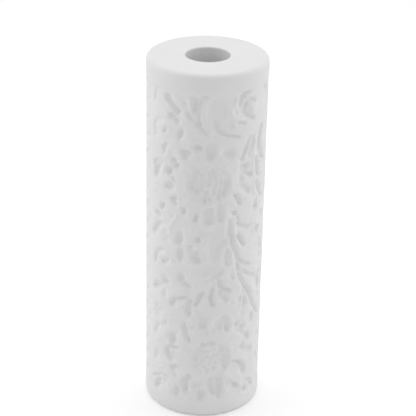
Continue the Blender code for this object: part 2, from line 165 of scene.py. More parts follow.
def feed(tree, socket, value):
    # links a field, a socket or a node's first output to the socket, or sets its value
    if isinstance(value, Field):
        tree.links.new(value.socket, socket)
    elif isinstance(value, bpy.types.NodeSocket):
        tree.links.new(value, socket)
    elif isinstance(value, bpy.types.Node):
        tree.links.new(value.outputs[0], socket)
    else:
        socket.default_value = value


def put(tree, kind, feeds=None, **settings):
    # adds a node, with its settings first, because they decide which sockets it has
    item = tree.nodes.new(kind)
    for key, value in settings.items():
        setattr(item, key, value)
    for key, value in (feeds or {}).items():
        feed(tree, item.inputs[key], value)
    return item


def newTree(name, inputs):
    # a modifier tree with named inputs, each a whole number, a number, or None for an object
    kinds = {int: "NodeSocketInt", float: "NodeSocketFloat", type(None): "NodeSocketObject"}
    tree = bpy.data.node_groups.new(name, "GeometryNodeTree")
    tree.interface.new_socket("Geometry", in_out="INPUT", socket_type="NodeSocketGeometry")
    for label, value in inputs.items():
        socket = tree.interface.new_socket(label, in_out="INPUT", socket_type=kinds[type(value)])
        if value is not None:
            socket.default_value = value
    tree.interface.new_socket("Geometry", in_out="OUTPUT", socket_type="NodeSocketGeometry")
    start, end = tree.nodes.new("NodeGroupInput"), tree.nodes.new("NodeGroupOutput")
    return tree, end, {s.name: Field(tree, s) for s in start.outputs}


def named(tree, name):
    item = put(tree, "GeometryNodeInputNamedAttribute", {"Name": name}, data_type="FLOAT")
    return Field(tree, item.outputs["Attribute"])


def store(tree, geometry, name, value):
    return put(tree, "GeometryNodeStoreNamedAttribute",
               {"Geometry": geometry, "Name": name, "Value": value}, data_type="FLOAT", domain="POINT")


def placeHere(tree):
    # where the point at hand is, as three fields
    apart = put(tree, "ShaderNodeSeparateXYZ", {"Vector": put(tree, "GeometryNodeInputPosition")})
    return [Field(tree, apart.outputs[axis]) for axis in "XYZ"]


def moved(tree, geometry, x, y, z):
    # every point of the geometry set to its own x, y and z
    place = put(tree, "ShaderNodeCombineXYZ", {"X": x, "Y": y, "Z": z})
    return put(tree, "GeometryNodeSetPosition", {"Geometry": geometry, "Position": place})


def realized(tree, geometry):
    return put(tree, "GeometryNodeRealizeInstances", {"Geometry": geometry})


def finishTree(tree, end, geometry):
    # every tree ends in real geometry with the casting's material on it
    real = realized(tree, geometry)
    painted = put(tree, "GeometryNodeSetMaterial", {"Geometry": real, "Material": castResin})
    feed(tree, end.inputs["Geometry"], painted)
    return tree


def shaped(host, tree, values=None):
    # puts the tree on the host, sets inputs by identifier, and hands back what it makes as a plain mesh
    modifier = host.modifiers.new(tree.name, "NODES")
    modifier.node_group = tree
    sockets = {s.name: s.identifier for s in tree.interface.items_tree if s.in_out == "INPUT"}
    for label, value in (values or {}).items():
        modifier[sockets[label]] = value
    graph = bpy.context.evaluated_depsgraph_get()
    made = bpy.data.meshes.new_from_object(host.evaluated_get(graph))
    host.modifiers.clear()
    return made


def makeSheet(name, tree, places, edges=(), values=None, **numbers):
    # the tree's shapes on bare points or chains, with a float attribute for each list of numbers
    mesh = bpy.data.meshes.new(name)
    mesh.from_pydata([(x, y, 0.0) for x, y in places], edges, [])
    for key, given in numbers.items():
        layer = mesh.attributes.new(key, "FLOAT", "POINT")
        layer.data.foreach_set("value", [float(v) for v in given])
    host = addObject(name, mesh)
    made = shaped(host, tree, values)
    bpy.data.objects.remove(host)
    return made


# the casting's look
resinLook = {
    "colour": (0.80, 0.80, 0.80),
    "roughness": 0.62,
    "roughSpread": 0.06,
    "specular": 0.35,
    "toneSpread": 0.012,         # how much the white varies
    "toneRange": (0.3, 0.7),     # the part of the noise that is used
    "toneScale": 90.0,
    "toneDetail": 3.0,
    "grainScale": 2600.0,        # fine tooth of the cast surface
    "grainHeight": 0.004 * mm,
    "waveScale": 260.0,          # slight unevenness
    "waveHeight": 0.02 * mm,
    "bumpDetail": 2.0,
}


def newMaterial(name):
    material = bpy.data.materials.new(name)
    material.use_nodes = True
    return material, material.node_tree, material.node_tree.nodes["Principled BSDF"]


def makeResin():
    s = resinLook
    material, tree, shader = newMaterial("castResin")
    shader.inputs["Specular IOR Level"].default_value = s["specular"]
    where = put(tree, "ShaderNodeTexCoord").outputs["Object"]
    tone, grain, wave = (
        put(tree, "ShaderNodeTexNoise", {"Vector": where, "Scale": scale, "Detail": detail})
        for scale, detail in ((s["toneScale"], s["toneDetail"]), (s["grainScale"], s["bumpDetail"]),
                              (s["waveScale"], s["bumpDetail"])))
    bright = put(tree, "ShaderNodeMapRange", {
        "Value": tone, "From Min": s["toneRange"][0], "From Max": s["toneRange"][1],
        "To Min": 1 - s["toneSpread"], "To Max": 1 + s["toneSpread"]})
    colour = put(tree, "ShaderNodeVectorMath", {0: s["colour"]}, operation="SCALE")
    feed(tree, colour.inputs["Scale"], bright)
    feed(tree, shader.inputs["Base Color"], colour)
    rough = put(tree, "ShaderNodeMapRange", {
        "Value": wave, "To Min": s["roughness"] - s["roughSpread"],
        "To Max": s["roughness"] + s["roughSpread"]})
    feed(tree, shader.inputs["Roughness"], rough)
    coarse = put(tree, "ShaderNodeBump", {"Height": wave, "Strength": 1.0, "Distance": s["waveHeight"]})
    fine = put(tree, "ShaderNodeBump", {
        "Height": grain, "Strength": 1.0, "Distance": s["grainHeight"], "Normal": coarse})
    feed(tree, shader.inputs["Normal"], fine)
    return material


# blades: petals and leaves, each a unit grid bent to its own length, width and bow
bladeLook = {
    "stepsAlong": 19,
    "stepsAcross": 13,
    "edge": 0.50,                # lower is steeper at the edge
    "pointed": 0.80,
    "endSlope": 2.5,             # how fast a blade rises from its ends
    "veinWidth": 0.9 * mm,
    "veinFade": 4.0,             # the vein fades out over one such part of the length
    "leafHeight": 0.86,
    "leafFullest": 0.5,          # where along it a blade is widest, as a share of its length
    "petalHeight": 0.92,
    "petalFullest": 0.60,
    "petalVein": 0.22,
}


def bladeTree():
    s = bladeLook
    tree, end, given = newTree("bladeSpray", {
        "Relief Depth": wall["reliefDepth"],
        "Steps Along": s["stepsAlong"],
        "Steps Across": s["stepsAcross"],
        "Edge": s["edge"],
        "Pointed": s["pointed"],
        "Vein Width": s["veinWidth"],
    })
    grid = put(tree, "GeometryNodeMeshGrid", {
        "Size X": 1.0, "Size Y": 2.0,
        "Vertices X": given["Steps Along"], "Vertices Y": given["Steps Across"]})
    gridX, gridY = placeHere(tree)[:2]
    blade = store(tree, grid, "along", gridX + 0.5)
    blade = store(tree, blade, "across", (gridY * (math.pi / 2)).math("SINE"))
    rootX, rootY = placeHere(tree)[:2]
    points = store(tree, store(tree, given["Geometry"], "rootX", rootX), "rootY", rootY)
    spread = put(tree, "GeometryNodeInstanceOnPoints", {"Points": points, "Instance": blade})

    t, c = named(tree, "along"), named(tree, "across")
    reach, width, bow = named(tree, "reach"), named(tree, "width"), named(tree, "bow")
    inside = t.atLeast(tiny).atMost(1 - tiny)
    plan = (inside ** named(tree, "fullness") * math.pi).math("SINE").atLeast(0.0) ** given["Pointed"]
    side = c * width * plan * 0.5
    back = (1 - c * c).atLeast(0.0) ** given["Edge"]
    hollow = side * 2.0 / given["Vein Width"]
    hollow = (hollow * hollow * -1.0).math("EXPONENT") * named(tree, "vein")
    hollow = hollow * ((1 - t) * s["veinFade"]).atMost(1.0)
    height = back * (plan * s["endSlope"]).atMost(1.0) * (1 - hollow) * named(tree, "crest")
    x = reach * t
    y = side + bow * reach * 4.0 * t * (1 - t)
    turn = named(tree, "heading")
    cosine, sine = turn.math("COSINE"), turn.math("SINE")
    bent = moved(tree, realized(tree, spread), x * cosine - y * sine + named(tree, "rootX"),
                 x * sine + y * cosine + named(tree, "rootY"), height * given["Relief Depth"])
    return finishTree(tree, end, bent)


def makeBlades(name, rows):
    # rows: root, tip, width, bow, vein, crest, and where the blade is fullest
    roots, tips, widths, bows, veins, crests, fullest = zip(*rows)
    runs = [(tip[0] - root[0], tip[1] - root[1]) for root, tip in zip(roots, tips)]
    return makeSheet(
        name, bladeTree(), roots, width=widths, bow=bows, vein=veins, crest=crests,
        reach=[math.hypot(*run) for run in runs], heading=[math.atan2(run[1], run[0]) for run in runs],
        fullness=[math.log(0.5) / math.log(share) for share in fullest])


# stems, scrolls and grooves: smooth runs with a round back
runLook = {
    "step": 0.5 * mm,
    "stepsAcross": 9,
    "edge": 0.5,                 # 0.5 gives a half round back, 1 a parabola
    "stemEdge": 0.9,
    "stemSwell": 1.25,           # stems are laid this much wider than their lit sides look
    "fade": 0.8 * mm,            # length of the fading ends
    "leastWidth": 0.45,          # share of the width that is left at the very end
}


def runTree():
    s = runLook
    tree, end, given = newTree("smoothRuns", {
        "Relief Depth": wall["reliefDepth"],
        "Step": s["step"],
        "Steps Across": s["stepsAcross"],
        "Edge": s["edge"],
        "Fade": s["fade"],
        "Least Width": s["leastWidth"],
    })
    line = put(tree, "GeometryNodeMeshToCurve", {"Mesh": given["Geometry"]})
    smooth = put(tree, "GeometryNodeCurveSplineType", {"Curve": line}, spline_type="CATMULL_ROM")
    even = put(tree, "GeometryNodeResampleCurve", {"Curve": smooth, "Length": given["Step"]}, mode="LENGTH")
    level = put(tree, "GeometryNodeSetCurveNormal", {"Curve": even}, mode="Z_UP")
    run = Field(tree, put(tree, "GeometryNodeSplineParameter").outputs["Length"])
    whole = Field(tree, put(tree, "GeometryNodeSplineLength").outputs["Length"])
    fromEnd = (run.atMost(whole - run) / given["Fade"]).atMost(1.0)
    level = store(tree, level, "ease", (fromEnd * (2 - fromEnd)).atLeast(0.0))
    bar = put(tree, "GeometryNodeCurvePrimitiveLine", {"Start": (-1.0, 0.0, 0.0), "End": (1.0, 0.0, 0.0)})
    bar = put(tree, "GeometryNodeResampleCurve", {
        "Curve": bar, "Count": given["Steps Across"]}, mode="COUNT")
    across = (placeHere(tree)[0] * (math.pi / 2)).math("SINE")
    bar = moved(tree, store(tree, bar, "across", across), across, 0.0, 0.0)
    slim = given["Least Width"] + (1 - given["Least Width"]) * named(tree, "ease")
    ribbon = put(tree, "GeometryNodeCurveToMesh", {
        "Curve": level, "Profile Curve": bar, "Scale": named(tree, "halfWidth") * slim})
    c = named(tree, "across")
    height = (1 - c * c).atLeast(0.0) ** given["Edge"] * named(tree, "ease") * named(tree, "crest")
    x, y = placeHere(tree)[:2]
    return finishTree(tree, end, moved(tree, ribbon, x, y, height * given["Relief Depth"]))


def makeRuns(name, rows, edge=runLook["edge"]):
    # rows: widths at even steps along the course, crest, then the course's points
    places, links, halves, crests = [], [], [], []
    for widths, crest, course in rows:
        first = len(places)
        for i, point in enumerate(course):
            along = i / (len(course) - 1) * (len(widths) - 1)
            k = min(int(along), len(widths) - 2) if len(widths) > 1 else 0
            after = widths[min(k + 1, len(widths) - 1)]
            places.append(point)
            halves.append((widths[k] + (after - widths[k]) * (along - k)) / 2)
            crests.append(crest)
            if i:
                links.append((first + i - 1, first + i))
    return makeSheet(name, runTree(), places, links, {"Edge": edge}, halfWidth=halves, crest=crests)


# domes: buds, beads, discs, and the pockets between the motifs
domeLook = {
    "rings": 5,
    "sides": 16,
    "knobEdge": 0.5,             # lower is steeper at the edge
}


def domeTree():
    s = domeLook
    tree, end, given = newTree("domeField", {
        "Relief Depth": wall["reliefDepth"],
        "Rings": s["rings"],
        "Sides": s["sides"],
    })
    cone = put(tree, "GeometryNodeMeshCone", {
        "Vertices": given["Sides"], "Side Segments": given["Rings"],
        "Radius Top": 0.0, "Radius Bottom": 1.0, "Depth": 1.0}, fill_type="NONE")
    x, y = placeHere(tree)[:2]
    out = (x * x + y * y).math("SQRT")
    eased = (out * (math.pi / 2)).math("SINE")      # rings crowd towards the rim, where a dome is steep
    cone = store(tree, store(tree, cone, "out", eased), "grow", eased / out.atLeast(tiny))
    grow = named(tree, "grow")
    size = put(tree, "ShaderNodeCombineXYZ", {
        "X": named(tree, "halfLength"), "Y": named(tree, "halfWidth"), "Z": 1.0})
    turn = put(tree, "ShaderNodeCombineXYZ", {"Z": named(tree, "heading")})
    spread = put(tree, "GeometryNodeInstanceOnPoints", {
        "Points": given["Geometry"], "Instance": moved(tree, cone, x * grow, y * grow, 0.0),
        "Rotation": turn, "Scale": size})
    r = named(tree, "out")
    height = (1 - r * r).atLeast(0.0) ** named(tree, "edge") * named(tree, "crest")
    return finishTree(tree, end, moved(tree, realized(tree, spread), x, y, height * given["Relief Depth"]))


def makeDomes(name, rows):
    # rows: middle, length, width, angle in degrees, crest, edge
    middles, lengths, widths, angles, crests, edges = zip(*rows)
    return makeSheet(
        name, domeTree(), middles, crest=crests, edge=edges, heading=[math.radians(a) for a in angles],
        halfLength=[length / 2 for length in lengths], halfWidth=[width / 2 for width in widths])


def joined(name, meshes):
    # several sheets as one object, still flat
    whole = bmesh.new()
    for mesh in meshes:
        whole.from_mesh(mesh)
    result = bpy.data.meshes.new(name)
    whole.to_mesh(result)
    whole.free()
    return addObject(name, result)


# flowers: petals round a disc, with the middle in thousandths
upperDaisy = {
    "middle": (20, 728),
    "petals": 18,
    "turn": 0.0,
    "inner": 4.6 * mm,
    "outer": 14.6 * mm,
    "width": 4.6 * mm,
    "disc": 6.1 * mm,
}
lowerDaisy = {
    "middle": (45, 155),
    "petals": 14,
    "turn": 9.0,
    "inner": 4.4 * mm,
    "outer": 16.8 * mm,
    "width": 6.6 * mm,
    "disc": 6.2 * mm,
}
blossom = {
    "middle": (-97.5, 527),
    "petals": 4,
    "turn": 0.0,
    "inner": 0.3 * mm,
    "outer": 6.9 * mm,
    "width": 5.0 * mm,
}


def onCircle(middle, radius, turn):
    return middle[0] + radius * math.cos(turn), middle[1] + radius * math.sin(turn)


def petalRows(flower):
    middle = flat(*flower["middle"])
    rows = []
    for k in range(flower["petals"]):
        turn = math.radians(flower["turn"] + 360 * k / flower["petals"])
        root, tip = (onCircle(middle, flower[end], turn) for end in ("inner", "outer"))
        rows.append((root, tip, flower["width"], 0.0, bladeLook["petalVein"], bladeLook["petalHeight"],
                     bladeLook["petalFullest"]))
    return rows


# leaves: root and tip in thousandths, width in mm, bow as a share of the length, depth of the vein
leafSpray = [
    # fan beside the C-scroll
    ((-130, 905), (-365, 960), 8.5, 0.1, 0.35), ((-90, 900), (-190, 995), 5.6, -0.04, 0.25),
    ((-10, 880), (-150, 852), 5, 0.05, 0.2), ((-30, 893), (-150, 900), 4.2, -0.08, 0),
    ((-170, 890), (-330, 925), 4.6, 0.05, 0.2),
    # between the bud and the upper daisy
    ((-140, 850), (-240, 835), 5.4, 0, 0), ((60, 850), (200, 850), 5.2, -0.05, 0.2),
    ((-215, 790), (-235, 850), 4.6, 0, 0),
    # left of the upper daisy
    ((-240, 700), (-250, 800), 6.4, -0.06, 0.25), ((-270, 795), (-400, 835), 5.6, 0.05, 0.25),
    ((-290, 785), (-420, 765), 4.6, 0.05, 0.25), ((-215, 675), (-345, 700), 6.4, 0.06, 0.25),
    ((-215, 635), (-400, 665), 6.2, 0.06, 0.25), ((-300, 620), (-420, 630), 5, 0, 0.25),
    # left of the blossom
    ((-190, 590), (-290, 590), 4.4, 0.05, 0.2), ((-190, 545), (-330, 545), 6, 0.06, 0.25),
    ((-180, 510), (-370, 510), 5.4, 0.06, 0.25),
    # left, halfway down
    ((-170, 470), (-290, 480), 4.6, -0.08, 0), ((-150, 440), (-360, 430), 7.4, 0.04, 0.3),
    ((-70, 385), (-225, 360), 7, 0.06, 0.25), ((-220, 340), (-400, 325), 6.4, 0.08, 0.3),
    # left of the lower daisy
    ((-150, 305), (-290, 262), 6, 0.08, 0.3), ((-300, 300), (-410, 275), 5.4, 0.04, 0.3),
    ((-200, 225), (-290, 205), 5.4, 0.04, 0.2), ((-230, 190), (-400, 165), 7.4, 0.06, 0.3),
    ((-220, 120), (-300, 95), 6.6, 0.06, 0.3), ((-320, 95), (-410, 80), 5.6, 0.06, 0.3),
    ((-150, 80), (-250, 90), 5, 0.08, 0.3), ((-190, 45), (-250, 10), 5.6, -0.06, 0.3),
    ((-340, 30), (-420, 10), 5, 0, 0.3),
    # leaflets below the bundle of stems
    ((80, 440), (-90, 430), 4.6, -0.04, 0.2), ((45, 415), (-80, 325), 5, 0.04, 0.3),
    ((60, 420), (15, 325), 4, 0.06, 0), ((70, 415), (70, 325), 3.6, 0.06, 0),
    ((110, 420), (215, 345), 7, 0.06, 0.3), ((130, 435), (200, 400), 5, -0.06, 0.3),
    # right of the stems
    ((200, 640), (330, 665), 6, -0.06, 0.25), ((220, 600), (420, 605), 6, 0.04, 0.3),
    ((230, 560), (420, 575), 4.6, 0.04, 0.3), ((260, 545), (410, 520), 6, 0.06, 0.3),
    ((240, 490), (400, 470), 6.6, 0.04, 0.3), ((290, 440), (400, 425), 5.4, -0.04, 0.3),
    # feathered leaf along the broad rib
    ((300, 880), (430, 850), 5.4, -0.08, 0.3), ((345, 800), (430, 825), 5, 0.04, 0.3),
    ((335, 760), (430, 745), 5.8, -0.04, 0.3), ((350, 715), (430, 690), 5.4, -0.04, 0.3),
    ((220, 725), (300, 715), 4.4, 0, 0), ((230, 670), (300, 640), 4.4, 0, 0),
    # right of the lower daisy
    ((150, 310), (330, 285), 5.4, 0, 0.25), ((260, 265), (310, 240), 5, 0, 0.2),
    ((350, 245), (440, 225), 5.4, 0.06, 0.3), ((320, 190), (440, 165), 5.8, 0.06, 0.3),
    ((300, 120), (420, 130), 6, 0.06, 0.3), ((300, 65), (430, 75), 6.4, 0.06, 0.3),
    ((220, 30), (270, 0), 4, 0, 0),
]

# stems, scrolls and ridges that catch the light: widths in mm from start to end, course in thousandths
stemRuns = [
    # blades of the fan
    ((2.4, 2.3, 1.8), [(-104, 990), (-98, 965), (-90, 940), (-84, 926)]),
    ((1.7, 1.4), [(-132, 942), (-105, 915)]), ((1.4,), [(-58, 987), (-58, 943)]),
    ((1.8, 1.6), [(-128, 866), (-95, 862), (-60, 862)]),
    # C-scroll and its foot
    ((1.5, 1.8, 1.7), [(28, 986), (0, 979), (-13, 960), (-20, 938), (-22, 922), (-15, 909), (-3, 901)]),
    ((1.8, 1.6), [(-5, 900), (20, 885), (45, 873)]),
    ((2.4, 2.6), [(45, 872), (90, 862), (190, 853), (280, 858)]),
    # volute
    ((2,), [(178, 987), (165, 967), (158, 952)]),
    ((2,), [(138, 950), (148, 931), (165, 918), (190, 909), (222, 906)]),
    ((2, 1.8), [(145, 906), (170, 893), (200, 890), (260, 882), (300, 880)]),
    ((1.7, 1.4), [(262, 931), (285, 925), (308, 930)]),
    ((2,), [(215, 975), (240, 980), (280, 975), (310, 968)]),
    # right of the upper daisy
    ((2, 2.6, 2.2), [(106, 784), (136, 759), (151, 736), (156, 713), (176, 691)]),
    # thin stems beside the broad rib
    ((1.4, 1.2), [(268, 834), (245, 812), (232, 800)]), ((1.7, 1.5), [(312, 845), (300, 800)]),
    ((3.4, 3.2), [(300, 805), (305, 750), (315, 700), (322, 660)]),
    # left of the upper daisy
    ((2.6, 2), [(-238, 778), (-262, 735)]), ((1.8,), [(-118, 662), (-72, 682)]),
    ((2.4, 2.2), [(-225, 565), (-185, 600), (-160, 625)]),
    # round the blossom
    ((2, 1.8), [(-83, 593), (-83, 562)]), ((2.8, 2.6), [(-122, 472), (-85, 474), (-55, 470)]),
    ((1.8,), [(-195, 483), (-195, 458)]), ((1.4,), [(15, 553), (-2, 531), (-36, 524)]),
    ((1.4,), [(3, 494), (-8, 470)]),
    # bundle of stems
    ((2.2, 3), [(177, 598), (173, 570), (186, 545), (207, 522), (245, 506)]),
    ((2,), [(163, 512), (169, 482), (178, 461)]), ((1.4,), [(123, 520), (119, 495)]),
    ((1.6,), [(140, 560), (141, 520)]), ((1.6,), [(118, 620), (118, 575), (113, 545)]),
    ((1.6, 1.3), [(180, 452), (196, 418)]), ((1.4,), [(227, 398), (229, 370)]),
    # leaves below it
    ((3.2, 2.8), [(-100, 379), (-150, 374), (-200, 350)]),
    ((1.8, 1.7), [(-172, 317), (-128, 332), (-100, 349)]), ((2.2, 2), [(33, 385), (10, 350), (-30, 320)]),
    ((3.4, 3.2), [(303, 380), (320, 363), (347, 343)]), ((1.8, 1.4), [(287, 332), (303, 303)]),
    ((2,), [(307, 295), (307, 275)]),
    # between the petals of the lower daisy
    ((2.6,), [(-98, 287), (-62, 289)]), ((1.9,), [(37, 300), (37, 262)]), ((1.3,), [(61, 294), (61, 272)]),
    ((2.2, 2.8), [(158, 192), (168, 172), (176, 154), (195, 147), (227, 139)]),
    ((2.4, 1.8), [(227, 139), (252, 130), (304, 108)]),
    ((2.4,), [(121, 101), (160, 82), (198, 68), (231, 52), (256, 36), (262, 18)]),
    ((2.4, 2.8), [(137, 54), (147, 38), (158, 20)]), ((1.6, 1.4), [(28, 99), (45, 89)]),
    ((1.5,), [(14, 87), (8, 59), (4, 38)]), ((1.8,), [(-20, 99), (-46, 76)]),
    ((2.2,), [(-124, 87), (-95, 100), (-68, 113)]), ((1.8,), [(-83, 165), (-83, 142)]),
    ((2.2,), [(-238, 84), (-203, 85)]), ((2.6, 2.2), [(-198, 38), (-206, 6)]),
    ((1.3, 1.1), [(307, 25), (325, 21), (347, 14)]),
]

# the bud and the eye of the volute: middle in thousandths, size in mm, edge
bossSet = [(-250, 875, 10.2, 0.4), (275, 940, 6.4, 0.5)]

# small rounded heights: middle in thousandths, length and width in mm, angle in degrees
knobSet = [
    (-45, 877, 2.2, 2, 0), (-220, 810, 2.6, 2.2, 0), (-215, 777, 2.2, 1.8, 0), (-112, 745, 3.2, 2.6, 0),
    (-112, 708, 3.2, 2.6, 0), (115, 776, 3, 2.4, 45), (80, 788, 3, 2.2, 65), (185, 693, 2.6, 2, -40),
    (152, 732, 5.4, 2.6, -72), (357, 765, 2.6, 2, 30), (398, 800, 3, 2, 0), (400, 720, 3, 2, -30),
    (400, 686, 3.4, 2.4, -40), (400, 633, 3, 2.2, 0), (352, 656, 2.4, 2, -40), (-24, 665, 2.2, 1.8, 90),
    (-15, 615, 2.4, 1.8, 90), (122, 626, 2.2, 1.6, 90), (55, 640, 3, 1.4, 90), (-208, 558, 2.6, 2, 20),
    (-275, 472, 3, 2, 25), (-282, 545, 3.2, 2, 30), (-90, 543, 2.4, 2, 0), (-153, 523, 2.4, 1.8, 0),
    (-45, 522, 2.4, 1.8, 0), (-87, 492, 2.4, 2, 0), (-70, 437, 3.4, 2.4, 20), (400, 586, 3.4, 2.2, 0),
    (395, 552, 3, 2, 10), (340, 571, 3, 1.8, 8), (-58, 312, 2.2, 2.2, 0), (-237, 219, 4.2, 3.6, 60),
    (236, 319, 3.6, 1.7, 95), (414, 366, 4, 3, 90), (190, 272, 2.2, 1.8, 0), (262, 270, 4.8, 3.2, 0),
    (403, 286, 3.4, 2.2, 80), (173, 177, 3, 2.8, 60), (43, 15, 5.2, 3.6, 0), (-189, 156, 1.8, 1.8, 0),
    (-137, 6, 2.6, 2.2, 0), (-74, 13, 5.2, 2.8, 0), (-128, 197, 4.2, 2.2, 0), (-299, 186, 6.4, 3.2, 30),
    (344, 166, 4, 2.4, -20),
]

# pockets towards the ground: middle in thousandths, length and width in mm, angle in degrees, depth
pocketSet = [
    # round the fan and the bud
    (-223, 969, 3.6, 2.9, -40, 1), (-201, 920, 3.2, 2.2, -20, 0.95), (-127, 966, 1.5, 1.3, 0, 0.35),
    (-46, 910, 2, 1.9, 0, 0.85), (-148, 873, 4.2, 2.1, 70, 0.95), (-116, 819, 4.2, 2.6, -10, 0.95),
    (-48, 838, 2.6, 2.3, 0, 1),
    # open ground inside the C-scroll, and what lies round the volute
    (60, 944, 9.6, 7.6, 90, 0.6), (52, 970, 4.4, 1.9, 0, 0.6), (110, 906, 5.8, 4, -25, 0.4),
    (172, 940, 2, 1.5, 0, 0.6), (215, 930, 2.2, 2, 0, 0.9), (270, 965, 2.2, 1.9, 0, 0.9),
    (247, 937, 2.6, 2.2, 0, 0.35),
    # tips of the upper daisy's petals
    (28, 828, 6.4, 4, 90, 1), (130, 820, 4.6, 4, 0, 0.85), (-185, 789, 2.4, 2.1, 0, 0.9),
    (-168, 774, 2.3, 1.9, 0, 0.9), (-214, 704, 4.4, 2.6, 0, 0.95), (-187, 668, 2.5, 2.1, 0, 1),
    (-140, 672, 1.8, 1.3, 0, 0.35), (-126, 638, 2.7, 1.5, 90, 0.95), (-300, 603, 4, 2, -10, 0.95),
    (208, 742, 5.2, 3, 85, 0.5), (230, 768, 4.2, 2.3, 0, 0.95), (256, 692, 3.4, 2.8, -40, 0.9),
    (202, 662, 2.2, 1.9, 90, 0.95), (173, 629, 2.1, 2, 0, 0.95), (148, 637, 1.5, 1.4, 0, 0.4),
    (333, 623, 3, 2.2, 0, 1), (357, 681, 2.6, 2, -50, 0.9),
    # round the blossom
    (-148, 550, 5.2, 3.1, 85, 1), (-142, 497, 5, 2.8, 92, 1), (-43, 552, 2.6, 2.3, 90, 1),
    (-83, 527, 1.9, 1.8, 0, 0.7), (-240, 556, 2.2, 1.5, 0, 0.35), (-236, 532, 2, 1.5, 0, 0.35),
    (-330, 531, 2, 1.6, 0, 0.35), (-135, 421, 3.2, 2.9, 90, 1), (-240, 406, 3.6, 2, 0, 0.55),
    # between the stems and the leaves on the right
    (62, 530, 15, 5, 88, 0.75), (85, 524, 2.6, 1.7, 90, 0.85), (102, 533, 1.3, 1.2, 0, 0.7),
    (290, 574, 1.9, 1.8, 0, 0.5), (328, 549, 6.4, 2.4, 10, 1), (342, 496, 1.8, 1.3, 0, 0.4),
    (372, 493, 1.8, 1.3, 0, 0.4), (18, 416, 1.8, 1.4, 0, 0.4), (170, 425, 1.8, 1.4, 0, 0.4),
    (34, 455, 7.4, 6.4, 0, 0.8),
    # leaves below
    (-234, 394, 3.2, 1.8, -5, 1), (-244, 355, 3.5, 3, 90, 0.45), (408, 388, 5.2, 3, 4, 0.95),
    (366, 370, 3.8, 2.9, 90, 0.2), (244, 292, 3.2, 2, 90, 0.35),
    # tips of the lower daisy's petals
    (-108, 252, 6, 2, 99, 0.8), (-299, 282, 2.4, 2, 25, 0.5), (-290, 270, 4, 2.3, 10, 0.35),
    (-232, 256, 2.6, 1.5, 70, 0.5), (-182, 211, 4.6, 3.1, 92, 1), (-155, 237, 3, 2, 90, 0.3),
    (0, 279, 5, 3.6, 90, 0.95), (18, 264, 2, 1.5, 90, 0.45), (-23, 308, 2.6, 2.1, 90, 0.5),
    (25, 247, 2.1, 1.7, 90, 0.35), (61, 250, 2.1, 1.7, 90, 0.35), (98, 272, 5, 4.4, 90, 0.95),
    (207, 258, 2.3, 1.7, 65, 0.8), (246, 245, 2.7, 2.3, 20, 0.8), (336, 259, 3.9, 2.2, 96, 1),
    (320, 247, 1.8, 1.4, 20, 0.75), (293, 203, 4, 2.6, -60, 1), (-190, 139, 2.2, 2, 0, 1),
    (-316, 127, 4.6, 2.6, 75, 0.65), (-162, 89, 3, 1.7, 90, 0.35), (-154, 29, 4.6, 2.1, 92, 0.95),
    (200, 103, 5.2, 4.2, 0, 0.25), (206, 46, 3.1, 2.5, -35, 1), (154, 61, 1.8, 1.3, 90, 0.55),
    (81, 70, 3.8, 2.2, 90, 0.55), (288, 16, 2.4, 2, -50, 1), (418, 105, 2.6, 2.2, 90, 0.85),
    (416, 179, 2.4, 1.8, -40, 0.65),
]

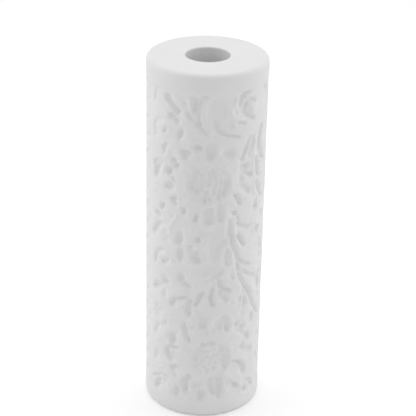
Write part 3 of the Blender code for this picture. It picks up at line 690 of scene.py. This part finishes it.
# grooves: widths in mm from start to end, depth, course in thousandths
grooveRuns = [
    # fan, bud and C-scroll
    ((1.4, 1.1), 0.45, [(-335, 945), (-330, 970), (-322, 982), (-300, 990), (-270, 994), (-230, 998)]),
    ((2.6, 1.5), 1, [(-240, 985), (-222, 968), (-200, 956), (-165, 938), (-152, 928)]),
    ((2, 1.3), 0.9, [(-200, 920), (-175, 912), (-153, 904)]),
    ((1.1, 1.7, 1), 0.7, [(-68, 989), (-67, 966), (-74, 942)]),
    ((0.7, 1, 1, 1, 0.7), 0.6, [(10, 992), (-15, 990), (-30, 980), (-45, 960), (-47, 930), (-45, 910),
        (-30, 893), (-10, 887), (15, 875)]),
    ((1.1,), 0.45, [(-110, 945), (-95, 925), (-80, 918), (-68, 926)]),
    ((1.8, 1.7), 0.45, [(-262, 899), (-300, 897), (-325, 885), (-335, 865), (-325, 838)]),
    ((1.3,), 0.5, [(-235, 886), (-245, 872), (-258, 864)]),
    ((2, 1.3), 0.65, [(-225, 839), (-250, 820), (-258, 800)]), ((1.3, 1), 0.75, [(-250, 820), (-272, 820)]),
    ((1.9, 1.1), 0.85, [(-116, 815), (-118, 797)]),
    ((1.8, 2.4, 2.4, 1.2, 0.8, 0.6), 0.85, [(50, 928), (52, 908), (66, 892), (90, 880), (115, 873),
        (150, 868), (200, 862)]),
    ((1.2, 1.1), 0.75, [(173, 908), (200, 903), (237, 898)]),
    ((1.6, 1.7), 0.8, [(262, 993), (230, 993), (205, 985), (195, 970), (193, 955), (200, 940), (215, 930),
        (240, 917), (270, 912), (302, 907)]),
    ((1.8, 2.4, 2.1, 1.6), 0.95, [(262, 968), (236, 962), (224, 948), (222, 933), (236, 922), (262, 915),
        (295, 905)]),
    ((1.7, 1.5), 0.8, [(255, 967), (276, 966), (302, 957)]),
    ((1.4, 2.2, 2.4), 0.7, [(345, 992), (385, 987), (420, 979), (440, 973)]),
    ((1, 1.4, 1), 0.65, [(211, 794), (235, 820), (256, 840), (270, 862)]),
    ((1, 1.4, 1), 0.6, [(254, 792), (275, 815), (293, 835), (302, 858)]),
    # round the upper daisy
    ((1.7, 2), 0.95, [(-197, 763), (-218, 753), (-204, 742)]),
    ((1.3, 1), 0.45, [(-200, 742), (-185, 730), (-178, 718)]),
    ((1.6, 2.4), 0.95, [(-202, 721), (-215, 704)]), ((1.5, 1.1), 0.75, [(-187, 670), (-164, 683)]),
    ((1.3, 1.1), 0.75, [(-187, 662), (-182, 656), (-155, 653)]),
    ((1.8, 1.5), 0.95, [(-49, 637), (-57, 621), (-63, 606)]),
    ((1.7, 2.1), 0.95, [(-251, 646), (-268, 632), (-270, 622)]),
    ((2.1, 2.7), 0.95, [(-288, 763), (-298, 755), (-316, 740), (-329, 714)]),
    ((1.3,), 0.75, [(-328, 745), (-335, 760), (-300, 771), (-272, 773), (-282, 757)]),
    ((1.3, 1.2), 0.45, [(-332, 668), (-305, 673)]), ((1.5, 1.2), 0.4, [(-180, 620), (-202, 609)]),
    ((1.2, 2.2, 2.6, 2, 1.5), 1, [(384, 878), (362, 850), (353, 822), (360, 799), (379, 782), (405, 769),
        (436, 760)]),
    ((1.3, 1.2), 0.7, [(378, 793), (418, 785)]), ((1.5, 1.3), 0.75, [(188, 796), (229, 790)]),
    ((2.3, 1.8), 0.9, [(221, 752), (260, 740), (289, 732)]),
    ((1.5, 2.1, 2.7, 1.4), 0.9, [(203, 714), (235, 702), (256, 692), (274, 681)]),
    ((1.5, 1.7), 0.9, [(163, 688), (195, 673), (202, 662), (205, 648)]),
    ((1.4, 1.1), 0.75, [(194, 619), (198, 604)]), ((1.4, 2.2), 0.95, [(343, 652), (335, 624)]),
    ((1.4, 2.2, 1.7), 0.9, [(322, 788), (333, 757), (340, 736), (358, 718)]),
    ((1.7, 1.9), 0.9, [(326, 713), (357, 681), (383, 660), (417, 643)]),
    ((3.6, 3.8), 1, [(22, 656), (26, 600)]), ((2.6, 2.4), 0.85, [(90, 669), (90, 606)]),
    ((1.8, 2), 0.8, [(50, 852), (50, 815)]),
    # round the blossom and along the stems
    ((1.3, 1.9, 2.5, 2, 1.3), 0.95, [(-250, 582), (-280, 575), (-300, 569), (-325, 553), (-354, 533)]),
    ((1.9, 2.8, 1.6), 1, [(-48, 518), (-55, 495), (-25, 476)]),
    ((2.6, 3.2, 2.6), 0.6, [(-45, 583), (0, 572), (40, 570), (90, 578)]),
    ((2.1, 1.2), 0.8, [(-125, 412), (-100, 400), (-68, 395)]),
    ((1.7, 1.3), 0.7, [(-249, 497), (-282, 487), (-308, 478), (-325, 462), (-327, 436)]),
    ((1.7, 1.9), 0.85, [(-214, 475), (-236, 462), (-267, 452)]),
    ((1.9, 1.8, 1.1), 0.6, [(145, 614), (147, 590), (142, 570), (142, 548)]),
    ((1.2, 2.3, 2.2, 1.3), 0.8, [(140, 522), (135, 490), (134, 476), (143, 460)]),
    ((1.5,), 0.9, [(197, 602), (206, 586), (231, 580), (252, 574), (290, 574)]),
    ((1.7, 1.5), 1, [(194, 559), (206, 550), (227, 531), (243, 518), (252, 514)]),
    ((1.8, 1.2), 0.6, [(362, 556), (358, 530)]),
    ((1, 1.4, 2, 1.3, 1.4), 0.85, [(158, 570), (163, 545), (170, 525), (187, 505), (197, 490), (198, 474),
        (206, 456), (211, 434)]),
    ((1, 1.5, 1.4, 1), 0.95, [(205, 484), (214, 474), (228, 465), (247, 457), (272, 450), (304, 446)]),
    ((1.2, 1.3), 0.6, [(120, 557), (112, 545), (96, 534)]),
    ((1,), 0.5, [(154, 437), (170, 424), (181, 411)]),
    ((1.4, 1.2), 0.8, [(111, 457), (106, 444), (90, 437), (64, 428), (28, 424)]),
    ((1.3, 1.1), 0.6, [(203, 456), (222, 447)]),
    ((1.5, 1), 0.85, [(234, 438), (265, 421), (294, 410), (327, 402), (358, 394)]),
    ((1.6, 1.7, 1.2, 1.2, 1.7, 1.4, 1.2), 0.9, [(207, 433), (227, 412), (248, 391), (261, 377), (273, 372),
        (286, 359), (302, 343), (315, 331), (332, 313), (350, 295), (369, 283), (390, 267), (420, 255)]),
    ((1.5, 2.6, 2.4), 0.8, [(392, 508), (422, 484), (440, 462)]), ((2, 2.4), 0.7, [(409, 601), (429, 575)]),
    ((1.4, 2.6), 0.45, [(372, 466), (408, 452), (436, 436)]),
    # leaves below the stems
    ((1.5, 1), 0.6, [(-222, 394), (-202, 392)]),
    ((1.4, 2.1, 2.8, 2.2, 1.3), 1, [(-248, 386), (-283, 372), (-300, 367), (-318, 362), (-350, 354)]),
    ((1.2, 1), 0.5, [(-258, 384), (-295, 379), (-338, 372)]),
    ((2.3, 2.3, 1.6, 1.2, 1), 0.95, [(-194, 319), (-187, 333), (-170, 345), (-153, 349), (-127, 355),
        (-86, 362)]),
    ((1.4, 1.9, 2.3, 1.4), 1, [(-76, 357), (-88, 335), (-92, 318), (-83, 296)]),
    ((1.5, 1.9, 1.8, 1.1), 0.95, [(12, 385), (-11, 375), (-26, 364), (-36, 350), (-56, 333)]),
    ((1.1, 1.8, 2, 1.3), 0.95, [(64, 396), (51, 379), (48, 360), (55, 344), (70, 332)]),
    ((1.3, 2.2, 1.8, 1.4, 1.2), 1, [(96, 424), (100, 404), (110, 393), (128, 386), (168, 379)]),
    ((1.6, 2.2, 2.8, 1.6), 0.95, [(98, 389), (104, 371), (130, 357), (150, 345)]),
    ((1.3, 1.1), 0.4, [(152, 344), (190, 335)]), ((1.2, 1), 0.5, [(79, 416), (60, 405), (49, 399)]),
    ((1.3,), 0.8, [(241, 351), (229, 341), (225, 327)]),
    ((1.3, 1.6), 0.85, [(253, 347), (265, 336), (259, 320), (254, 306)]),
    ((1,), 0.5, [(246, 378), (250, 350)]),
    ((2.2, 1.7), 0.9, [(402, 385), (399, 370), (402, 355), (412, 338)]),
    ((1.4, 1.3), 0.45, [(381, 323), (420, 315)]),
    # round the lower daisy
    ((1.7, 1.1), 0.8, [(-100, 234), (-77, 208)]), ((1.3, 1.1), 0.55, [(-75, 271), (-61, 255)]),
    ((2, 1.1), 0.6, [(-300, 281), (-270, 290), (-238, 297)]),
    ((1.4,), 0.5, [(-305, 312), (-309, 298), (-321, 286)]), ((1.3, 1.1), 0.45, [(-244, 248), (-269, 243)]),
    ((2.2, 2.6), 0.6, [(-286, 243), (-310, 220), (-331, 197)]),
    ((1, 0.9), 0.45, [(-365, 257), (-388, 245)]),
    ((1.6, 2.2, 2.4, 1.7), 0.9, [(102, 287), (123, 292), (139, 285), (144, 268), (144, 242)]),
    ((1.3,), 0.5, [(214, 253), (236, 245)]), ((1.5, 1.2), 0.4, [(197, 240), (231, 230), (258, 220)]),
    ((1.7, 2.4, 1.7), 0.9, [(227, 178), (261, 165), (290, 156), (318, 150), (350, 148)]),
    ((1.5,), 0.5, [(256, 198), (254, 181), (261, 166)]),
    ((0.8, 1.6, 3, 2), 1, [(176, 133), (206, 129), (231, 123), (246, 113), (260, 101), (268, 93), (273, 84),
        (273, 72)]),
    ((2, 1.2), 0.6, [(198, 52), (180, 62), (157, 69)]),
    ((2.5, 3, 2.2, 1.5), 1, [(60, 92), (56, 60), (66, 44), (78, 24)]),
    ((2.3, 2.8, 2, 1.6), 1, [(104, 92), (106, 63), (106, 30), (108, 14)]),
    ((1.9,), 1, [(-8, 47), (-9, 29), (-9, 9)]), ((1.2,), 0.8, [(16, 44), (16, 19)]),
    ((1.5, 1.4), 0.6, [(-29, 72), (-44, 61), (-51, 53)]), ((1,), 0.5, [(-15, 73), (-15, 54)]),
    ((1.3, 2.1, 1.3, 1.1), 0.9, [(283, 33), (298, 41), (317, 37), (340, 31), (357, 19), (374, 6)]),
    ((1.3,), 0.65, [(288, 16), (286, 36)]),
    ((1.3, 1.7, 2.7, 2), 1, [(-145, 182), (-187, 179), (-212, 174), (-222, 165), (-219, 154), (-210, 145),
        (-186, 138)]),
    ((1.2, 1.1), 0.6, [(-188, 168), (-171, 160)]), ((2.6, 1.7), 1, [(-195, 101), (-180, 109), (-154, 122)]),
    ((1.3, 1.1), 0.75, [(-151, 114), (-127, 118)]),
    ((1.5, 2.6, 1.7), 1, [(-72, 98), (-95, 83), (-108, 72), (-102, 55), (-101, 32)]),
    ((1.8, 1.3), 0.9, [(-111, 65), (-127, 53)]), ((1.1,), 0.45, [(-99, 36), (-87, 29), (-65, 41)]),
    ((2.3, 3.3, 2.6, 1.9), 1, [(-275, 53), (-291, 36), (-305, 21), (-328, 10)]),
    ((1.7, 2.3, 1.5), 0.9, [(-228, 56), (-250, 44), (-276, 50)]),
    ((1.9, 1.4, 1.3, 1.1), 0.85, [(-208, 70), (-241, 66), (-266, 66), (-283, 61), (-312, 54), (-350, 41)]),
]

# hatching of the flowers' discs: strokes as grooves, and pricks as middle, size in mm, depth
discStrokes = [
    # upper disc
    ((1.6, 2.1, 2, 1.4), 1, [(-40, 773), (-64, 755), (-64, 735), (-55, 712), (-52, 690)]),
    ((1.5,), 1, [(-86, 738), (-87, 722), (-80, 703)]),
    ((1.4, 1.7, 1.7, 1.3), 1, [(-34, 764), (-20, 750), (-20, 728), (-24, 700)]),
    ((1.4, 1.6, 1.2), 0.7, [(-18, 778), (-4, 777), (8, 774)]),
    ((1.3, 1.8, 2.1, 1.3), 1, [(12, 772), (25, 752), (25, 733), (19, 714)]),
    ((1.3, 1.8, 1.4), 1, [(12, 712), (4, 698), (-4, 680), (-6, 664)]),
    ((1.5, 1.9, 1.6, 1.8, 1.3), 1, [(46, 780), (55, 762), (64, 745), (64, 728), (54, 708), (52, 688)]),
    ((2, 1.5), 0.9, [(80, 755), (100, 752)]),
    ((1.2, 1.6, 1.3, 1.8), 1, [(96, 744), (96, 726), (89, 708), (80, 690), (77, 676)]),
    ((1.2, 1.5, 1.2), 1, [(126, 742), (124, 720), (113, 700), (100, 686)]),
    ((1.5, 1.3), 0.9, [(-40, 690), (-26, 680)]), ((1.3,), 0.9, [(28, 690), (32, 667)]),
    # lower disc
    ((1.8, 2.2, 1.8), 1, [(28, 208), (50, 209), (80, 202)]),
    ((1.7, 2.4, 1.8), 1, [(-41, 182), (-47, 162), (-46, 143)]), ((1.4, 1.5), 0.85, [(3, 190), (3, 167)]),
    ((1.5, 2.4, 2.5), 0.85, [(66, 190), (85, 180), (98, 168), (104, 156)]),
    ((1.6, 2, 1.8), 1, [(97, 199), (118, 187), (133, 169)]), ((1.8, 2.5), 1, [(118, 160), (154, 156)]),
    ((1.4, 1.9, 2.2), 1, [(122, 150), (139, 141), (141, 128), (127, 115)]),
    ((1.4, 1.8, 1.4), 0.85, [(10, 118), (35, 118), (54, 120)]), ((1.6,), 0.8, [(75, 132), (70, 122)]),
]
discPricks = [
    (118, 713, 1.8, 0.9), (77, 683, 2, 0.95), (-80, 712, 2, 0.9), (-62, 750, 2.2, 1), (3, 203, 2.4, 1),
    (-28, 186, 2.4, 0.95), (-46, 130, 2, 0.85), (-20, 118, 2.6, 0.6), (30, 104, 1.8, 0.5),
    (80, 108, 1.6, 0.4),
]

# seeds that fill the lower flower's disc, set in a sunflower's spiral
seedLook = {
    "middle": (46, 153),
    "count": 17,
    "spread": 1.12 * mm,         # the spiral's growth per root of the seed's number
    "turn": 137.5,
    "size": 1.7 * mm,
    "depth": 1.0,
    "edge": 0.6,
}


def seedPricks():
    s = seedLook
    middle = litFlat(*s["middle"])
    places = [onCircle(middle, s["spread"] * math.sqrt(k + 0.5), math.radians(s["turn"] * k))
              for k in range(s["count"])]
    return [(place, s["size"], s["size"], 0, s["depth"], s["edge"]) for place in places]


# the vine where the repeats meet, at the sides of the photo's view
vine = {
    "offset": 0.9 * mm,
    "sway": 0.5 * mm,
    "wave": 27.0 * mm,
    "stem": 2.4 * mm,
    "leafLength": 7.8 * mm,
    "leafWidth": 4.2 * mm,
    "spacing": 5.8 * mm,
    "angle": 52,
    "bow": 0.08,
    "vein": 0.3,
    "fullest": 0.5,
    "gapOut": 3.4 * mm,          # pockets that part the leaves: how far out along them, length, width
    "gapLength": 3.4 * mm,
    "gapWidth": 1.5 * mm,
    "gapDepth": 0.6,
    "gapEdge": 0.5,
}


def vineParts():
    # the stem, the leaves on both sides of it and the pockets between them
    s = vine
    steps = int(patternHeight / s["spacing"])
    course, blades, gaps = [], [], []
    for k in range(steps + 1):
        y = patternHeight * k / steps
        x = repeatWidth / 2 + s["offset"] + s["sway"] * math.sin(2 * math.pi * y / s["wave"])
        course.append((x, y))
        for side in (-1, 1):
            lean = math.radians(s["angle"]) * side
            tip = x + s["leafLength"] * math.sin(lean), y + s["leafLength"] * math.cos(lean)
            blades.append(((x, y), tip, s["leafWidth"], -s["bow"] * side, s["vein"], 1.0, s["fullest"]))
            gap = x + s["gapOut"] * math.sin(lean), y + s["spacing"] / 2 + s["gapOut"] * math.cos(lean)
            turn = 90 - s["angle"] * side
            gaps.append((gap, s["gapLength"], s["gapWidth"], turn, s["gapDepth"], s["gapEdge"]))
    return ([s["stem"]], 1.0, course), blades, gaps


def laidOut(rows, swell=1.0):
    # a table's runs in metres on the layout
    return [([w * swell * mm for w in widths], depth, [litFlat(*p) for p in course])
            for widths, depth, course in rows]


def crestSheets(vineStem, vineLeaves):
    height, fullest = bladeLook["leafHeight"], bladeLook["leafFullest"]
    leaves = [(flat(*root), flat(*tip), width * mm, bow, vein, height, fullest)
              for root, tip, width, bow, vein in leafSpray]
    petals = petalRows(upperDaisy) + petalRows(lowerDaisy) + petalRows(blossom)
    stems = laidOut([(widths, 1.0, course) for widths, course in stemRuns], runLook["stemSwell"])
    domes = [(flat(x, y), size * mm, size * mm, 0, 1.0, edge) for x, y, size, edge in bossSet]
    domes += [(litFlat(x, y), length * mm, width * mm, angle, 1.0, domeLook["knobEdge"])
              for x, y, length, width, angle in knobSet]
    return [
        makeBlades("leaves", leaves + vineLeaves),
        makeBlades("petals", petals),
        makeRuns("stems", stems + [vineStem], runLook["stemEdge"]),
        makeDomes("buds", domes),
    ]


# how deep and how soft the cuts are; the pockets and grooves lie in wider, shallow bowls
cutLook = {
    "gain": 1.6,                 # cuts go deeper than the ground
    "slimming": 0.88,            # cuts are laid this much slimmer than their dark sides look
    "pocketEdge": 0.4,
    "bowlReach": 1.8 * mm,       # how much wider than the cut its bowl is
    "bowlDepth": 0.20,
    "bowlEdge": 1.0,
    "prickEdge": 0.7,
    "discDepth": 0.42,           # the hollow that the flowers' discs lie in
    "discEdge": 0.5,
    "ringWidth": 1.3 * mm,
    "ringDepth": 0.3,
    "ringSteps": 24,
}


def discRing(flower):
    s = cutLook
    middle = flat(*flower["middle"])
    turns = [2 * math.pi * k / s["ringSteps"] for k in range(s["ringSteps"] + 2)]
    return [s["ringWidth"]], s["ringDepth"], [onCircle(middle, flower["disc"], turn) for turn in turns]


def cutSheets(vineGaps):
    s, daisies = cutLook, (upperDaisy, lowerDaisy)
    reach, shallow = s["bowlReach"], s["bowlDepth"]
    pockets = [(litFlat(x, y), length * mm, width * s["slimming"] * mm, angle, depth, s["pocketEdge"])
               for x, y, length, width, angle, depth in pocketSet]
    pockets += [(place, length + reach, width + min(width, reach), angle, depth * shallow, s["bowlEdge"])
                for place, length, width, angle, depth, edge in pockets]
    pockets += [(litFlat(x, y), size * mm, size * mm, 0, depth, s["prickEdge"])
                for x, y, size, depth in discPricks]
    pockets += [(flat(*f["middle"]), 2 * f["disc"], 2 * f["disc"], 0, s["discDepth"], s["discEdge"])
                for f in daisies]
    grooves = laidOut(grooveRuns, s["slimming"])
    bowls = [([w + min(w, reach) for w in widths], depth * shallow, course)
             for widths, depth, course in grooves]
    return [
        makeDomes("pockets", pockets + vineGaps + seedPricks()),
        makeRuns("grooves", grooves + laidOut(discStrokes) + [discRing(f) for f in daisies]),
        makeRuns("bowls", bowls, s["bowlEdge"]),
    ]


# how the flat layout is read under each point of the wall
readLook = {
    "copies": 5,                 # layouts side by side, so that motifs may cross the edge of a repeat
    "above": 10 * mm,
    "rayLength": 100 * mm,
    "skin": 0.01 * mm,           # points this close to the outer radius are on the wall
}


def tiled(tree, sheetObject):
    sheet = put(tree, "GeometryNodeObjectInfo", {"Object": sheetObject})
    start = (-(readLook["copies"] // 2) * repeatWidth, 0.0, 0.0)
    copies = put(tree, "GeometryNodeMeshLine", {
        "Count": readLook["copies"], "Start Location": start, "Offset": (repeatWidth, 0.0, 0.0)})
    return realized(tree, put(tree, "GeometryNodeInstanceOnPoints", {
        "Points": copies, "Instance": sheet.outputs["Geometry"]}))


def depthUnder(tree, sheet, x, y, depth):
    # the top of the layout under a flat point, as a share of the relief's depth
    above = put(tree, "ShaderNodeCombineXYZ", {"X": x, "Y": y, "Z": readLook["above"]})
    ray = put(tree, "GeometryNodeRaycast", {
        "Target Geometry": sheet, "Source Position": above, "Ray Direction": (0.0, 0.0, -1.0),
        "Ray Length": readLook["rayLength"]})
    met = put(tree, "ShaderNodeSeparateXYZ", {"Vector": ray.outputs["Hit Position"]})
    return Field(tree, met.outputs["Z"]) / depth * Field(tree, ray.outputs["Is Hit"])


def carveTree():
    tree, end, given = newTree("carveWall", {
        "Crests": None,
        "Cuts": None,
        "Outer Radius": outerRadius,
        "Pattern Foot": wall["lowerBand"],
        "Pattern Height": patternHeight,
        "Relief Depth": wall["reliefDepth"],
        "Web Height": wall["webHeight"],
        "Cut Gain": cutLook["gain"],
        "Cove": wall["cove"],
        "Blur Steps": wall["blurSteps"],
    })
    px, py, pz = placeHere(tree)
    x = px.math("ARCTAN2", py * -1.0) * given["Outer Radius"]
    y = pz - given["Pattern Foot"]
    radius = (px * px + py * py).math("SQRT")
    onWall = radius.math("GREATER_THAN", given["Outer Radius"] - readLook["skin"])
    onWall = onWall * y.math("GREATER_THAN", 0.0) * (given["Pattern Height"] - y).math("GREATER_THAN", 0.0)

    crest, cut = (depthUnder(tree, tiled(tree, given[kind]), x, y, given["Relief Depth"])
                  for kind in ("Crests", "Cuts"))
    height = crest.atLeast(given["Web Height"]) * (1 - cut * given["Cut Gain"])
    soft = put(tree, "GeometryNodeBlurAttribute", {
        "Value": height, "Iterations": given["Blur Steps"]}, data_type="FLOAT")
    edge = (y.atMost(given["Pattern Height"] - y) / given["Cove"]).atMost(1.0).atLeast(0.0)
    rise = edge * edge * (3 - edge * 2.0)
    sink = (1 - Field(tree, soft.outputs["Value"])) * rise * given["Relief Depth"] * onWall
    scale = 1 - sink / radius.atLeast(tiny)
    return finishTree(tree, end, moved(tree, given["Geometry"], px * scale, py * scale, pz))


def roundedCorner(startPoint, corner, endPoint):
    # a quarter round from start to end in place of the sharp corner, as (radius, z)
    centre = [a + b - c for a, b, c in zip(startPoint, endPoint, corner)]
    points = []
    for k in range(wall["cornerSteps"] + 1):
        t = math.pi / 2 * k / wall["cornerSteps"]
        points.append(tuple(m + (a - m) * math.cos(t) + (b - m) * math.sin(t)
                            for m, a, b in zip(centre, startPoint, endPoint)))
    return points


def sectionPoints():
    # the wall's closed section: up the outside, over the top, down the bore and back under
    s, hold = wall, wall["hold"]
    rim, mouth = outerRadius - s["rimRound"], boreRadius + s["boreRound"]
    top = rollerLength
    rows = round(patternHeight / s["rowStep"])
    outside = [(outerRadius, s["lowerBand"] + patternHeight * k / rows) for k in range(rows + 1)]
    return [
        (outerRadius, s["rimRound"] + hold), *outside, (outerRadius, top - s["rimRound"] - hold),
        *roundedCorner((outerRadius, top - s["rimRound"]), (outerRadius, top), (rim, top)),
        (rim - hold, top), (mouth + hold, top),
        *roundedCorner((mouth, top), (boreRadius, top), (boreRadius, top - s["boreRound"])),
        (boreRadius, top - s["boreRound"] - hold), (boreRadius, s["boreRound"] + hold),
        *roundedCorner((boreRadius, s["boreRound"]), (boreRadius, 0.0), (mouth, 0.0)),
        (mouth + hold, 0.0), (rim - hold, 0.0),
        *roundedCorner((rim, 0.0), (outerRadius, 0.0), (outerRadius, s["rimRound"])),
    ]


def turnedBlank():
    # the plain roller: its closed section turned round the axis, as rings of points and quads
    section, columns = sectionPoints(), wall["columns"]
    turns = [2 * math.pi * k / columns for k in range(columns)]
    points = [(r * math.sin(a), -r * math.cos(a), z) for r, z in section for a in turns]
    faces = []
    for i in range(len(section)):
        here, above = i * columns, (i + 1) % len(section) * columns
        for k in range(columns):
            after = (k + 1) % columns
            faces.append((here + k, here + after, above + after, above + k))
    mesh = bpy.data.meshes.new("rollerWall")
    mesh.from_pydata(points, [], faces)
    return addObject("rollerWall", mesh)


def makeRoller():
    vineStem, vineLeaves, vineGaps = vineParts()
    crests = joined("crestLayout", crestSheets(vineStem, vineLeaves))
    cuts = joined("cutLayout", cutSheets(vineGaps))
    print("layout:", len(crests.data.polygons), "crest faces,", len(cuts.data.polygons), "cut faces")
    blank = turnedBlank()
    mesh = shaped(blank, carveTree(), {"Crests": crests, "Cuts": cuts})
    for helper in (blank, crests, cuts):
        bpy.data.objects.remove(helper)
    mesh.shade_smooth()
    roller = addObject("roller", mesh)
    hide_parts("roller_body")
    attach(roller, "root")
    mesh.calc_loop_triangles()
    print("roller:", len(mesh.loop_triangles), "triangles")


# floor, lamps and the light all round
stageLook = {
    "floorSize": 6.0,
    "floorColour": (0.90, 0.90, 0.90),
    "floorRoughness": 0.9,
    "floorLift": 0.21,           # extra white that the light on the object doesn't get
    "surround": 0.66,            # strength of the light that comes from all round
    "lamps": {                   # place, width and height in metres, then watts
        "lampLeft": ((-0.55, 0.10, 0.25), 0.5, 0.6, 0.90),
        "lampRight": ((0.55, 0.10, 0.25), 0.5, 0.6, 0.80),
        "lampTop": ((0.0, 0.15, 0.75), 0.5, 0.5, 1.08),
    },
}
white = (1.0, 1.0, 1.0, 1.0)


def seenDirectly(tree):
    # 1 where the camera sees a backdrop itself, in a mirror or through glass, 0 where it lights the object
    ray = put(tree, "ShaderNodeLightPath")
    kinds = [Field(tree, ray.outputs[k]) for k in ("Is Camera Ray", "Is Glossy Ray", "Is Transmission Ray")]
    return (kinds[0] + kinds[1] + kinds[2]).atMost(1.0)


def makeFloor():
    s = stageLook
    half = s["floorSize"] / 2
    mesh = bpy.data.meshes.new("floor")
    corners = [(-half, -half, 0), (half, -half, 0), (half, half, 0), (-half, half, 0)]
    mesh.from_pydata(corners, [], [(0, 1, 2, 3)])
    material, tree, paper = newMaterial("palePaper")
    paper.inputs["Base Color"].default_value = (*s["floorColour"], 1.0)
    paper.inputs["Roughness"].default_value = s["floorRoughness"]
    paper.inputs["Specular IOR Level"].default_value = 0.0
    paper.inputs["Emission Color"].default_value = white
    feed(tree, paper.inputs["Emission Strength"], seenDirectly(tree) * s["floorLift"])
    mesh.materials.append(material)
    addObject("floor", mesh)


def addLamp(name, place, width, height, watts):
    data = bpy.data.lights.new(name, "AREA")
    data.shape, data.size, data.size_y, data.energy = "RECTANGLE", width, height, watts
    lamp = addObject(name, data)
    lamp.location = place
    lamp.visible_camera = False
    aim = Vector(place) - Vector((0.0, 0.0, rollerLength / 2))
    lamp.rotation_euler = aim.to_track_quat("Z", "Y").to_euler()


def makeLight():
    s = stageLook
    world = bpy.data.worlds.new("surround")
    world.use_nodes = True
    background = world.node_tree.nodes["Background"]
    background.inputs["Color"].default_value = white
    shown = seenDirectly(world.node_tree)
    feed(world.node_tree, background.inputs["Strength"], shown * (1 - s["surround"]) + s["surround"])
    bpy.context.scene.world = world
    for name, settings in s["lamps"].items():
        addLamp(name, *settings)
    bpy.context.scene.view_settings.view_transform = "Standard"


makeCamera()
castResin = makeResin()
makeRoller()
makeFloor()
makeLight()
print("stage set")
